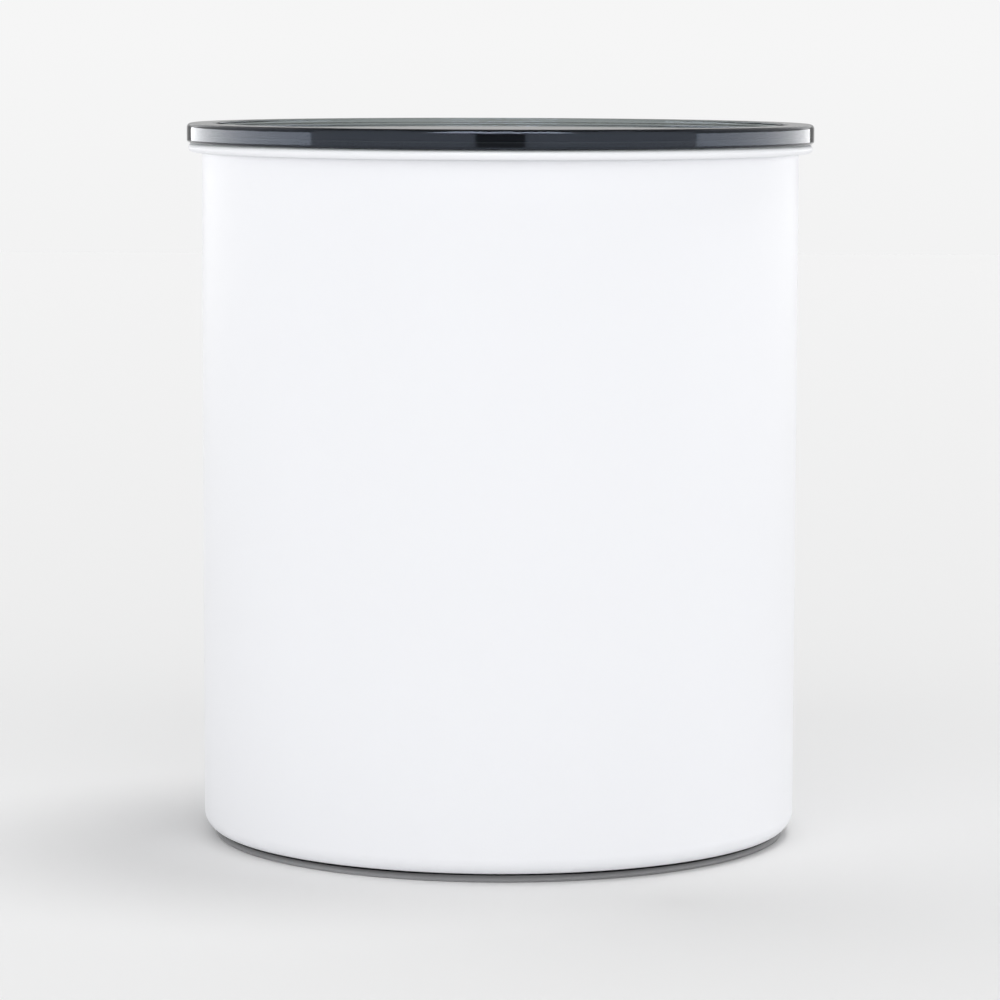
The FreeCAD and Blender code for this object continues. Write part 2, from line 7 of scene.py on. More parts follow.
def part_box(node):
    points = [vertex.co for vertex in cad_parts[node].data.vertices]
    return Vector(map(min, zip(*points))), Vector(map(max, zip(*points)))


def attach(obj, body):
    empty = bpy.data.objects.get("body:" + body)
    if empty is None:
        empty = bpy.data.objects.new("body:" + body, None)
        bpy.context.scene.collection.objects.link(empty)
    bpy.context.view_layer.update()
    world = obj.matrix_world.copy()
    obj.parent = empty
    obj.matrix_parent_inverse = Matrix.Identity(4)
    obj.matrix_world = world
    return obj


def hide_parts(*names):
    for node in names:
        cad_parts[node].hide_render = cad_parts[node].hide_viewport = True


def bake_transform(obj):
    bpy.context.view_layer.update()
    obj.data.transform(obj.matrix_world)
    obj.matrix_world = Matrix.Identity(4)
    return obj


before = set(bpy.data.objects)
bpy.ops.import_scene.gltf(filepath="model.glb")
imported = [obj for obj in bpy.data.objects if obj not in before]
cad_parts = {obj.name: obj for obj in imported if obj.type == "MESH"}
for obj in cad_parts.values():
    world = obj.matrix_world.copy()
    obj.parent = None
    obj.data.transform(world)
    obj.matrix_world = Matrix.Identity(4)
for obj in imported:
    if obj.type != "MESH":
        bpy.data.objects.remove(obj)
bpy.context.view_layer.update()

MM = 0.001


# Sizes in millimetres, from the frame where a CAD node gives them


def node_foot(node):
    """Lowest level of a CAD node."""
    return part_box(node)[0].z / MM


def node_top(node):
    """Highest level of a CAD node."""
    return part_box(node)[1].z / MM


def node_reach(node):
    """Reach of a round CAD node from the axis."""
    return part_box(node)[1].x / MM


# The can
WALL_RADIUS = 87.6
SHEET = 0.7
BORE = WALL_RADIUS - SHEET
CORNER = 5.0
CORNER_TURN = 58.0  # degrees
CAN_FLOOR = node_foot("canister_shell")
FLOOR_RING = 45.0  # ring of points on the can's floor
WALL_RINGS = (60.0, 120.0, 170.0)  # rings of points up its wall
WALL_HOLD = 0.1  # ring close to each end of the wall, which keeps its shading even
ROLL_TOP = node_top("canister_shell")
ROLL_EDGE = 91.6
ROLL_HEIGHT = 2.5
ROLL_GAP = 0.5  # end of the roll to the wall
ROLL_STOP = WALL_RADIUS + ROLL_GAP

# The base
BASE_EDGE = 84.45
BASE_SHEET = 0.6
BASE_EDGE_TOP = 2.1
BASE_ROUND = 0.7
BASE_BEND = 0.4
FOOT_WIDTH = 10.0
FOOT_SLOPE = 2.0

# The outer lid and its gasket
LID_SEAT_GAP = 0.1  # over the rolled rim
LID_TOP = node_top("outer_lid")
LID_UNDER = ROLL_TOP + LID_SEAT_GAP
LID_RADIUS = node_reach("outer_lid")
LID_EDGE_ROUND = 1.3
LID_FOOT_ROUND = 0.9
LID_SOFT_ROUND = 0.4
RIM_WIDTH = 7.6
RIM_INSIDE = LID_RADIUS - RIM_WIDTH
PANEL_RECESS = 1.3
PANEL_THICKNESS = 2.2
PANEL_TOP = LID_TOP - PANEL_RECESS
PANEL_UNDER = PANEL_TOP - PANEL_THICKNESS
PLUG_CLEARANCE = 1.2  # from the plug to the can's mouth
PLUG_WALL = 2.6
PLUG_RADIUS = BORE - PLUG_CLEARANCE
PLUG_BORE = PLUG_RADIUS - PLUG_WALL
PLUG_END = node_foot("outer_lid")
PLUG_ROOT_ROUND = 1.0
PLUG_CLEAR_ROOT = 0.1  # height of the plug's root that stays clear
GROOVE_DEPTH = 0.8
GASKET_LOW = node_foot("lid_gasket")
GASKET_HIGH = node_top("lid_gasket")
SEAL_GAP = 0.15  # from a seal to the can's wall
SEAL_RADIUS = BORE - SEAL_GAP

# The plunger's wiper
WIPER_SEAT = node_foot("wiper_seal")
WIPER_HEIGHT = node_top("wiper_seal") - WIPER_SEAT
WIPER_INSIDE = 83.5
WIPER_SKIN = 84.5
WIPER_LIP = 0.9
WIPER_RISE = 2.2
WIPER_LIP_SHARES = (0.2, 0.6)  # where the lips start, as shares of the height

# The valve's washer and spring
WASHER_BORE = 3.0
WASHER_EDGE = node_reach("poppet_seal")
WASHER_LOW = node_foot("poppet_seal")
WASHER_HIGH = node_top("poppet_seal")
WASHER_FACE_ROUND = 0.3
WASHER_BACK_ROUND = 0.15
SPRING_RADIUS = 10.3
SPRING_WIRE = 0.35
SPRING_LOW = 143.1
SPRING_HIGH = 146.3
SPRING_TURNS = 2.5

# Fineness of the meshes
FINE_TURN = 256  # steps round the can, the base and the lid
SEAL_TURN = 192
WASHER_TURN = 96
SPRING_SIDES = 14
SPRING_STEPS = 160
ROUND_HOLD = 0.04  # point close to each end of a rounding
FACE_SLACK = 0.05  # play in telling faces apart by their place
FACES_INWARD = 0.5  # least share of a normal that points into the can
MERGE_DISTANCE = 1e-6  # metres

# Edges that are sharper than these angles show, in degrees
SHARP = 35.0
CAN_SHARP = 15.0
SPRING_SHARP = 40.0


# Mesh helpers


def arc_points(centre, radius, start, end, steps):
    """Points of an arc in the turning plane, from start to end in degrees, both ends included."""
    points = []
    for i in range(steps + 1):
        a = math.radians(start + (end - start) * i / steps)
        points.append((centre[0] + radius * math.cos(a), centre[1] + radius * math.sin(a)))
    return points


def rounded(corners, steps=6):
    """Points of a closed outline from (radius, height, rounding) corners. A point close to each end of
    a rounding keeps the shading of the flat beside it even."""
    points = []
    for i, (x, z, rounding) in enumerate(corners):
        here = Vector((x, z))
        if rounding == 0:
            points.append((x, z))
            continue
        back = (Vector(corners[i - 1][:2]) - here).normalized()
        ahead = (Vector(corners[(i + 1) % len(corners)][:2]) - here).normalized()
        half = back.angle(ahead) / 2
        middle = here + (back + ahead).normalized() * (rounding / math.sin(half))
        reach = rounding / math.tan(half)
        first = here + back * reach - middle
        last = here + ahead * reach - middle
        sweep = first.angle_signed(last)
        points.append(tuple(here + back * (reach + ROUND_HOLD)))
        for k in range(steps + 1):
            spoke = first.copy()
            spoke.rotate(Matrix.Rotation(-sweep * k / steps, 2))
            points.append(tuple(middle + spoke))
        points.append(tuple(here + ahead * (reach + ROUND_HOLD)))
    return points


def turned(name, outline, steps, sharp=SHARP):
    """A piece made by extruding a closed outline point by point and spinning it about the Z axis."""
    bpy.ops.object.select_all(action="DESELECT")
    bpy.ops.mesh.primitive_plane_add(size=MM)
    piece = bpy.context.object
    piece.name = name
    bpy.ops.object.mode_set(mode="EDIT")
    bpy.ops.mesh.select_all(action="SELECT")
    bpy.ops.mesh.merge(type="CENTER")
    path = [Vector((x, 0, z)) * MM for x, z in outline]
    bpy.ops.transform.translate(value=path[0])
    for here, there in zip(path, path[1:] + path[:1]):
        bpy.ops.mesh.extrude_region_move(TRANSFORM_OT_translate={"value": there - here})
    bpy.ops.mesh.select_all(action="SELECT")
    bpy.ops.mesh.remove_doubles(threshold=MERGE_DISTANCE)
    bpy.ops.mesh.select_all(action="SELECT")
    bpy.ops.mesh.spin(steps=steps, angle=2 * math.pi, center=(0, 0, 0), axis=(0, 0, 1))
    bpy.ops.mesh.select_all(action="SELECT")
    bpy.ops.mesh.remove_doubles(threshold=MERGE_DISTANCE)
    bpy.ops.mesh.normals_make_consistent(inside=False)
    bpy.ops.object.mode_set(mode="OBJECT")
    bpy.ops.object.shade_smooth_by_angle(angle=math.radians(sharp))
    return piece


def finish_piece(piece, body, slot, node, *materials):
    """Gives a piece its finishes and its body, in place of a CAD node."""
    for material in materials:
        piece.data.materials.append(material)
    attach(piece, body)
    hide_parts(node)


# Shader helpers


def new_material(name):
    """A material with its node tree and its shader."""
    material = bpy.data.materials.new(name)
    material.use_nodes = True
    tree = material.node_tree
    return material, tree, tree.nodes["Principled BSDF"]


def calculate(tree, operation, a, b=0):
    """A sum, product or other step on two values, each a socket or a number."""
    node = tree.nodes.new("ShaderNodeMath")
    node.operation = operation
    for socket, value in zip(node.inputs, (a, b)):
        if isinstance(value, (int, float)):
            socket.default_value = value
        else:
            tree.links.new(value, socket)
    return node.outputs["Value"]


def tone_ramp(tree, value, low, high):
    """A colour that moves between two tones with a value."""
    mix = tree.nodes.new("ShaderNodeMix")
    mix.data_type = "RGBA"
    mix.inputs["A"].default_value = (*low, 1)
    mix.inputs["B"].default_value = (*high, 1)
    tree.links.new(value, mix.inputs["Factor"])
    return mix.outputs["Result"]


def spread(tree, value, low, high):
    """A value moved from 0..1 to low..high."""
    node = tree.nodes.new("ShaderNodeMapRange")
    node.inputs["To Min"].default_value = low
    node.inputs["To Max"].default_value = high
    tree.links.new(value, node.inputs["Value"])
    return node.outputs["Result"]


def add_bump(tree, shader, height, distance):
    """Bumps a shader's surface by a height, to a depth in metres."""
    bump = tree.nodes.new("ShaderNodeBump")
    bump.inputs["Strength"].default_value = 1.0
    bump.inputs["Distance"].default_value = distance
    tree.links.new(height, bump.inputs["Height"])
    tree.links.new(bump.outputs["Normal"], shader.inputs["Normal"])


# Materials


def grain_group():
    """Fine moulded or sprayed grain: a height for bump and a slow tone."""
    group = bpy.data.node_groups.new("surface_grain", "ShaderNodeTree")
    group.interface.new_socket("Grain per metre", in_out="INPUT", socket_type="NodeSocketFloat")
    group.interface.new_socket("Height", in_out="OUTPUT", socket_type="NodeSocketFloat")
    group.interface.new_socket("Tone", in_out="OUTPUT", socket_type="NodeSocketFloat")
    nodes, links = group.nodes, group.links
    inside = nodes.new("NodeGroupInput")
    outside = nodes.new("NodeGroupOutput")
    place = nodes.new("ShaderNodeTexCoord")
    fine = nodes.new("ShaderNodeTexNoise")
    fine.inputs["Detail"].default_value = 2.0
    slow = nodes.new("ShaderNodeTexNoise")
    slow.inputs["Scale"].default_value = 14.0
    slow.inputs["Detail"].default_value = 3.0
    links.new(place.outputs["Object"], fine.inputs["Vector"])
    links.new(place.outputs["Object"], slow.inputs["Vector"])
    links.new(inside.outputs["Grain per metre"], fine.inputs["Scale"])
    links.new(fine.outputs["Fac"], outside.inputs["Height"])
    links.new(slow.outputs["Fac"], outside.inputs["Tone"])
    return group


BRUSH_BREAKS = 1.5  # changes along a brushed line, per radian


def brush_group():
    """Fine lines left by turning or brushing about the Z axis."""
    group = bpy.data.node_groups.new("turned_brush", "ShaderNodeTree")
    group.interface.new_socket("Lines per metre", in_out="INPUT", socket_type="NodeSocketFloat")
    group.interface.new_socket("Height", in_out="OUTPUT", socket_type="NodeSocketFloat")
    nodes, links = group.nodes, group.links
    inside = nodes.new("NodeGroupInput")
    outside = nodes.new("NodeGroupOutput")
    place = nodes.new("ShaderNodeTexCoord")
    split = nodes.new("ShaderNodeSeparateXYZ")
    flat = nodes.new("ShaderNodeCombineXYZ")
    radius = nodes.new("ShaderNodeVectorMath")
    radius.operation = "LENGTH"
    links.new(place.outputs["Object"], split.inputs["Vector"])
    links.new(split.outputs["X"], flat.inputs["X"])
    links.new(split.outputs["Y"], flat.inputs["Y"])
    links.new(flat.outputs["Vector"], radius.inputs[0])
    angle = calculate(group, "ARCTAN2", split.outputs["X"], split.outputs["Y"])
    across = calculate(group, "ADD", radius.outputs["Value"], split.outputs["Z"])
    plane = nodes.new("ShaderNodeCombineXYZ")
    links.new(calculate(group, "MULTIPLY", angle, BRUSH_BREAKS), plane.inputs["X"])
    links.new(calculate(group, "MULTIPLY", across, inside.outputs["Lines per metre"]), plane.inputs["Y"])
    lines = nodes.new("ShaderNodeTexNoise")
    lines.inputs["Scale"].default_value = 1.0
    lines.inputs["Detail"].default_value = 3.0
    links.new(plane.outputs["Vector"], lines.inputs["Vector"])
    links.new(lines.outputs["Fac"], outside.inputs["Height"])
    return group


GRAIN = grain_group()
BRUSH = brush_group()


def grained(name, low, high, roughness, grain, depth):
    """A moulded or coated finish with fine grain."""
    material, tree, shader = new_material(name)
    group = tree.nodes.new("ShaderNodeGroup")
    group.node_tree = GRAIN
    group.inputs["Grain per metre"].default_value = grain
    tree.links.new(tone_ramp(tree, group.outputs["Tone"], low, high), shader.inputs["Base Color"])
    tree.links.new(spread(tree, group.outputs["Tone"], *roughness), shader.inputs["Roughness"])
    add_bump(tree, shader, group.outputs["Height"], depth)
    return material


def brushed(name, low, high, roughness, lines, depth):
    """A brushed metal finish with lines round the axis."""
    material, tree, shader = new_material(name)
    group = tree.nodes.new("ShaderNodeGroup")
    group.node_tree = BRUSH
    group.inputs["Lines per metre"].default_value = lines
    shader.inputs["Metallic"].default_value = 1.0
    tree.links.new(tone_ramp(tree, group.outputs["Height"], low, high), shader.inputs["Base Color"])
    tree.links.new(spread(tree, group.outputs["Height"], *roughness), shader.inputs["Roughness"])
    add_bump(tree, shader, group.outputs["Height"], depth)
    return material


def paint_light_and_shade_by_height(material, foot_share, top_share, height):
    """Paints light and shade into a finish's colour: scales it with the height, from one share at the
    floor to another at a height.
    """
    tree = material.node_tree
    colour = tree.nodes["Principled BSDF"].inputs["Base Color"]
    place = tree.nodes.new("ShaderNodeTexCoord")
    split = tree.nodes.new("ShaderNodeSeparateXYZ")
    share = tree.nodes.new("ShaderNodeMapRange")
    share.inputs["From Max"].default_value = height
    share.inputs["To Min"].default_value = foot_share
    share.inputs["To Max"].default_value = top_share
    scale = tree.nodes.new("ShaderNodeVectorMath")
    scale.operation = "SCALE"
    tree.links.new(place.outputs["Object"], split.inputs["Vector"])
    tree.links.new(split.outputs["Z"], share.inputs["Value"])
    tree.links.new(colour.links[0].from_socket, scale.inputs[0])
    tree.links.new(share.outputs["Result"], scale.inputs["Scale"])
    tree.links.new(scale.outputs["Vector"], colour)


def clear_tinted(name, roughness, ior, sheen, tint, density):
    """Clear plastic with a tint that deepens with thickness, and a tint to what it mirrors."""
    material, tree, shader = new_material(name)
    shader.inputs["Base Color"].default_value = (1, 1, 1, 1)
    shader.inputs["Roughness"].default_value = roughness
    shader.inputs["IOR"].default_value = ior
    shader.inputs["Specular Tint"].default_value = (*sheen, 1)
    shader.inputs["Transmission Weight"].default_value = 1.0
    absorption = tree.nodes.new("ShaderNodeVolumeAbsorption")
    absorption.inputs["Color"].default_value = (*tint, 1)
    absorption.inputs["Density"].default_value = density
    tree.links.new(absorption.outputs["Volume"], tree.nodes["Material Output"].inputs["Volume"])
    return material


def let_light_in(material, weight, depth):
    """Lets light into a finish, to a depth in metres."""
    shader = material.node_tree.nodes["Principled BSDF"]
    shader.inputs["Subsurface Weight"].default_value = weight
    shader.inputs["Subsurface Radius"].default_value = (depth, depth, depth)


coat = grained(
    "white_coat",
    low=(0.868, 0.876, 0.905),
    high=(0.878, 0.886, 0.915),
    roughness=(0.36, 0.44),
    grain=2200.0,
    depth=0.02 * MM,
)
inside_steel = brushed(
    "inside_steel",
    low=(0.62, 0.62, 0.61),
    high=(0.74, 0.73, 0.72),
    roughness=(0.30, 0.44),
    lines=2600.0,
    depth=0.004 * MM,
)
base_steel = brushed(
    "base_steel",
    low=(0.150, 0.150, 0.154),
    high=(0.195, 0.195, 0.200),
    roughness=(0.26, 0.38),
    lines=3000.0,
    depth=0.004 * MM,
)
# Painted shade at the top of the base's edge, under the can, and painted light at its foot: the colour is
# darkened above and brightened below.
paint_light_and_shade_by_height(base_steel, foot_share=2.9, top_share=0.4, height=BASE_EDGE_TOP * MM)
smoke = clear_tinted(
    "smoke_plastic",
    roughness=0.02,
    ior=1.55,
    sheen=(0.70, 0.80, 1.0),
    tint=(0.29, 0.34, 0.33),
    density=250.0,
)
silicone = grained(
    "silicone",
    low=(0.58, 0.58, 0.56),
    high=(0.62, 0.62, 0.60),
    roughness=(0.45, 0.58),
    grain=1600.0,
    depth=0.01 * MM,
)
let_light_in(silicone, weight=0.15, depth=2.0 * MM)
charcoal = grained(
    "charcoal_plastic",
    low=(0.044, 0.045, 0.049),
    high=(0.056, 0.057, 0.061),
    roughness=(0.42, 0.54),
    grain=3200.0,
    depth=0.02 * MM,
)
pale_plastic = grained(
    "pale_plastic",
    low=(0.70, 0.70, 0.67),
    high=(0.75, 0.75, 0.72),
    roughness=(0.35, 0.45),
    grain=2400.0,
    depth=0.01 * MM,
)
pin_steel = brushed(
    "pin_steel",
    low=(0.55, 0.55, 0.55),
    high=(0.70, 0.70, 0.70),
    roughness=(0.18, 0.30),
    lines=2600.0,
    depth=0.002 * MM,
)


# Pieces


def can():
    """Drawn can with a rim rolled outwards: coated outside, bare steel inside."""
    rise = CORNER * math.sin(math.radians(CORNER_TURN))
    corner = (WALL_RADIUS - CORNER, CAN_FLOOR + rise)
    inner_turn = math.degrees(math.asin((rise - SHEET) / (CORNER - SHEET)))
    roll = ROLL_HEIGHT / 2
    roll_under = ROLL_TOP - ROLL_HEIGHT
    bend = (BORE + roll, ROLL_TOP - roll)
    fold = (ROLL_EDGE - roll, ROLL_TOP - roll)
    wall_levels = [corner[1] + WALL_HOLD, *WALL_RINGS, bend[1] - WALL_HOLD]
    outline = [(0, CAN_FLOOR + SHEET), (FLOOR_RING, CAN_FLOOR + SHEET)]
    outline += arc_points(corner, CORNER - SHEET, -inner_turn, 0, steps=10)
    outline += [(BORE, level) for level in wall_levels]
    outline += arc_points(bend, roll, 180, 90, steps=8)
    outline += arc_points(fold, roll, 90, -90, steps=16)
    outline += [(ROLL_STOP, roll_under), (ROLL_STOP, roll_under + SHEET)]
    outline += arc_points(fold, roll - SHEET, -90, 90, steps=14)
    outline += arc_points(bend, roll - SHEET, 90, 180, steps=8)
    outline += [(WALL_RADIUS, level) for level in reversed(wall_levels)]
    outline += arc_points(corner, CORNER, 0, -CORNER_TURN, steps=14)
    outline += [(FLOOR_RING, CAN_FLOOR), (0, CAN_FLOOR)]
    piece = turned("can", outline, FINE_TURN, CAN_SHARP)
    finish_piece(piece, "canister", "coated_steel", "canister_shell", coat, inside_steel)
    for face in piece.data.polygons:
        face.material_index = 1 if is_can_inside(face) else 0


def is_can_inside(face):
    """True for a face of the can's bore, its inner corner or the top of its floor."""
    x, y, z = face.center
    radius = math.hypot(x, y)
    if radius > (BORE + FACE_SLACK) * MM or z > (ROLL_TOP - ROLL_HEIGHT / 2) * MM:
        return False
    inward = -(face.normal.x * x + face.normal.y * y) / radius
    return inward + max(face.normal.z, 0) > FACES_INWARD


def steel_base():
    """Pressed pan that the can stands on."""
    ring = BASE_EDGE - FOOT_WIDTH
    step = ring - FOOT_SLOPE
    outline = rounded(
        [
            (0, CAN_FLOOR, 0),
            (step, CAN_FLOOR, BASE_BEND),
            (ring, BASE_SHEET, BASE_BEND),
            (BASE_EDGE - BASE_SHEET, BASE_SHEET, BASE_ROUND - BASE_SHEET),
            (BASE_EDGE - BASE_SHEET, BASE_EDGE_TOP, 0),
            (BASE_EDGE, BASE_EDGE_TOP, BASE_SHEET / 3),
            (BASE_EDGE, 0, BASE_ROUND),
            (ring - BASE_SHEET, 0, BASE_BEND),
            (step - BASE_SHEET, CAN_FLOOR - BASE_SHEET, BASE_BEND),
            (0, CAN_FLOOR - BASE_SHEET, 0),
        ]
    )
    piece = turned("steel_base", outline, FINE_TURN)
    finish_piece(piece, "canister", "bare_steel", "base_plate", base_steel)


def smoke_lid():
    """Tinted lid: polished clear rim and sunk panel, and a dark plug with a groove."""
    groove = PLUG_RADIUS - GROOVE_DEPTH
    outline = rounded(
        [
            (0, PANEL_UNDER, 0),
            (PLUG_BORE, PANEL_UNDER, PLUG_ROOT_ROUND),
            (PLUG_BORE, PLUG_END, LID_SOFT_ROUND),
            (PLUG_RADIUS, PLUG_END, LID_SOFT_ROUND),
            (PLUG_RADIUS, GASKET_LOW, 0),
            (groove, GASKET_LOW, 0),
            (groove, GASKET_HIGH, 0),
            (PLUG_RADIUS, GASKET_HIGH, 0),
            (PLUG_RADIUS, LID_UNDER, 0),
            (LID_RADIUS, LID_UNDER, LID_FOOT_ROUND),
            (LID_RADIUS, LID_TOP, LID_EDGE_ROUND),
            (RIM_INSIDE, LID_TOP, LID_SOFT_ROUND),
            (RIM_INSIDE, PANEL_TOP, LID_SOFT_ROUND),
            (0, PANEL_TOP, 0),
        ],
        steps=8,
    )
    piece = turned("smoke_lid", outline, FINE_TURN)
    finish_piece(piece, "lid", "smoke_plastic", "outer_lid", smoke, charcoal)
    for face in piece.data.polygons:
        on_plug = math.hypot(face.center.x, face.center.y) < (PLUG_RADIUS + FACE_SLACK) * MM
        under_root = face.center.z < (PANEL_UNDER - PLUG_CLEAR_ROOT) * MM
        face.material_index = 1 if on_plug and under_root else 0


def gasket_ring():
    """Silicone ring in the plug's groove."""
    inner = PLUG_RADIUS - GROOVE_DEPTH
    shoulder = (GASKET_HIGH - GASKET_LOW) / 5
    outline = rounded(
        [
            (inner, GASKET_LOW, 0),
            (PLUG_RADIUS, GASKET_LOW, 0),
            (SEAL_RADIUS, GASKET_LOW + shoulder, shoulder / 2),
            (SEAL_RADIUS, GASKET_HIGH - shoulder, shoulder / 2),
            (PLUG_RADIUS, GASKET_HIGH, 0),
            (inner, GASKET_HIGH, 0),
        ]
    )
    piece = turned("gasket_ring", outline, SEAL_TURN)
    finish_piece(piece, "lid", "silicone", "lid_gasket", silicone)


def wiper():
    """Silicone sleeve round the plunger with two lips against the wall."""
    top = WIPER_SEAT + WIPER_HEIGHT
    soft = WIPER_LIP / 3
    corners = [(WIPER_INSIDE, WIPER_SEAT, 0), (WIPER_SKIN, WIPER_SEAT, 0)]
    for share in WIPER_LIP_SHARES:
        root = WIPER_SEAT + WIPER_HEIGHT * share
        corners += [
            (WIPER_SKIN, root, 0),
            (SEAL_RADIUS, root + WIPER_RISE - WIPER_LIP, soft),
            (SEAL_RADIUS, root + WIPER_RISE, soft),
            (WIPER_SKIN, root + WIPER_LIP, 0),
        ]
    corners += [(WIPER_SKIN, top, 0), (WIPER_INSIDE, top, 0)]
    piece = turned("wiper", rounded(corners), SEAL_TURN)
    finish_piece(piece, "plunger", "silicone", "wiper_seal", silicone)


def seat_washer():
    """Silicone washer that shuts the valve's seat."""
    outline = rounded(
        [
            (WASHER_BORE, WASHER_LOW, 0),
            (WASHER_EDGE, WASHER_LOW, WASHER_FACE_ROUND),
            (WASHER_EDGE, WASHER_HIGH, WASHER_BACK_ROUND),
            (WASHER_BORE, WASHER_HIGH, 0),
        ]
    )
    piece = turned("seat_washer", outline, WASHER_TURN)
    finish_piece(piece, "valve", "silicone", "poppet_seal", silicone)


def lift_spring():
    """Open coil of round wire that lifts the valve, drawn by a screw from a circle."""
    bpy.ops.object.select_all(action="DESELECT")
    bpy.ops.mesh.primitive_circle_add(vertices=SPRING_SIDES, radius=SPRING_WIRE * MM)
    piece = bpy.context.object
    piece.name = "lift_spring"
    bpy.ops.object.mode_set(mode="EDIT")
    bpy.ops.mesh.select_all(action="SELECT")
    bpy.ops.transform.rotate(value=math.pi / 2, orient_axis="X", center_override=(0, 0, 0))
    bpy.ops.transform.translate(value=(SPRING_RADIUS * MM, 0, SPRING_LOW * MM))
    bpy.ops.object.mode_set(mode="OBJECT")
    coil = piece.modifiers.new("coil", "SCREW")
    coil.angle = 2 * math.pi * SPRING_TURNS
    coil.screw_offset = (SPRING_HIGH - SPRING_LOW) * MM
    coil.steps = coil.render_steps = SPRING_STEPS
    bpy.ops.object.modifier_apply(modifier="coil")
    bpy.ops.object.mode_set(mode="EDIT")
    bpy.ops.mesh.select_all(action="SELECT")
    bpy.ops.mesh.fill_holes(sides=0)
    bpy.ops.mesh.select_all(action="SELECT")
    bpy.ops.mesh.normals_make_consistent(inside=False)
    bpy.ops.object.mode_set(mode="OBJECT")
    bpy.ops.object.shade_smooth_by_angle(angle=math.radians(SPRING_SHARP))
    piece.data.materials.append(pin_steel)
    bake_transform(piece)
    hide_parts("valve_spring")


can()
steel_base()
smoke_lid()
gasket_ring()
wiper()
seat_washer()
lift_spring()

# Finishes of the CAD nodes that keep their shape
for node, material in {
    "plunger_dish": charcoal,
    "bean_screen": inside_steel,
    "valve_cap": charcoal,
    "valve_poppet": pale_plastic,
    "pull_handle": charcoal,
    "handle_pin": pin_steel,
}.items():
    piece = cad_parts[node]
    piece.data.materials.clear()
    piece.data.materials.append(material)


# Floor, light and camera, in metres and degrees

CAMERA_ACROSS = 0.00016
CAMERA_DISTANCE = 1.2596
CAMERA_HEIGHT = 0.23366
CAMERA_PITCH = 6.12
CAMERA_ROLL = 0.17
CAMERA_LENS = 153.70
CAMERA_SENSOR = 36.0
CAMERA_CLIP_END = 50.0

# The floor's tone far away, its fall near the camera, and the light that it is corrected for
FLOOR_FAR_TONE = 0.92
FLOOR_NEAR_DROP = 0.122
FLOOR_LIGHT = 0.96
# The floor is painted darker in front, painted shade for the light the white wall throws there, and
# lighter close to the foot, painted light for the shade there
FLOOR_BOUNCE = ((0.05, -0.11, 0), 0.08, 0.29)  # centre, reach and strength
FLOOR_SHADE = ((-0.02, -0.035, 0), 0.025, -1.2)
TABLE_REACH = 3.5

SUN_AZIMUTH = 118
SUN_ELEVATION = 74
SUN_SPREAD = 22
SUN_STRENGTH = 0.92

# Panels of light: side, azimuths, elevations, softness of the edges, strength
SOFT_ROOM = 0.47
SOFT_LIGHT = [
    ("both", (-1, 60), (-3, 16), 4.0, 1.06),  # low front
    ("both", (-1, 45), (20, 55), 6.0, 1.0),  # high front
    ("left", (60, 125), (-3, 18), 4.0, 1.5),  # low sides
    ("right", (60, 125), (-3, 18), 4.0, 1.5),
]
MIRRORED_ROOM = 0.26
MIRRORED_LIGHT = [
    ("left", (8.9, 72), (-2.6, 26), 1.0, 0.95),  # front, beside a dark gap
    ("right", (8.9, 75), (-2.6, 26), 1.0, 0.95),
    ("both", (-1, 8.9), (6, 26), 1.0, 0.95),  # front, over the gap
    ("both", (-1, 73), (26, 60), 1.0, 0.7),  # high front
    ("both", (-1, 27), (22, 64), 4.0, 5.0),  # bright box high in front
    ("left", (72, 157), (-2.6, 4), 1.0, 2.95),  # bright low sides
    ("right", (75, 157), (-2.6, 4), 1.0, 2.5),
    ("left", (72, 157), (4, 48), 1.0, 0.4),  # dim high sides
    ("right", (75, 157), (4, 48), 1.0, 0.35),
    ("both", (150, 181), (6, 26), 1.0, 0.55),  # behind
    ("both", (-1, 181), (-30, -2.6), 1.0, 0.4),  # below the horizon, all round
    ("both", (-1, 181), (66, 91), 1.0, -0.18),  # darker ceiling
    ("both", (166, 181), (-5, 6), 1.0, 0.22),  # low behind
]


def fading(tree, place, centre, reach, strength):
    """A value that is strongest at a centre and fades with the distance from it."""
    away = tree.nodes.new("ShaderNodeVectorMath")
    away.operation = "DISTANCE"
    away.inputs[1].default_value = centre
    tree.links.new(place, away.inputs[0])
    share = calculate(tree, "MULTIPLY", away.outputs["Value"], -1 / reach)
    return calculate(tree, "MULTIPLY", calculate(tree, "EXPONENT", share), strength)


def floor():
    """Wide pale table top. Its tone rises a little with the distance from the canister. In front it is
    darker, painted shade that makes up for the light from the white wall, and close to the foot it is
    lighter, painted light that makes up for the shade there."""
    bpy.ops.object.select_all(action="DESELECT")
    bpy.ops.mesh.primitive_plane_add(size=2 * TABLE_REACH)
    stage = bpy.context.object
    stage.name = "floor"
    material, tree, shader = new_material("floor_paper")
    place = tree.nodes.new("ShaderNodeTexCoord")
    length = tree.nodes.new("ShaderNodeVectorMath")
    length.operation = "LENGTH"
    tree.links.new(place.outputs["Object"], length.inputs[0])
    distance = calculate(tree, "ADD", length.outputs["Value"], CAMERA_DISTANCE)
    drop = calculate(tree, "DIVIDE", FLOOR_NEAR_DROP, distance)
    tone = calculate(tree, "SUBTRACT", FLOOR_FAR_TONE, drop)
    bounce = fading(tree, place.outputs["Object"], *FLOOR_BOUNCE)
    shade = fading(tree, place.outputs["Object"], *FLOOR_SHADE)
    light = calculate(tree, "ADD", calculate(tree, "ADD", bounce, shade), FLOOR_LIGHT)
    # The colour is the tone divided by the expected light: painted shade in front of the can, painted
    # light close to its foot
    tree.links.new(calculate(tree, "DIVIDE", tone, light), shader.inputs["Base Color"])
    shader.inputs["Roughness"].default_value = 1.0
    shader.inputs["Specular IOR Level"].default_value = 0.0
    stage.data.materials.append(material)


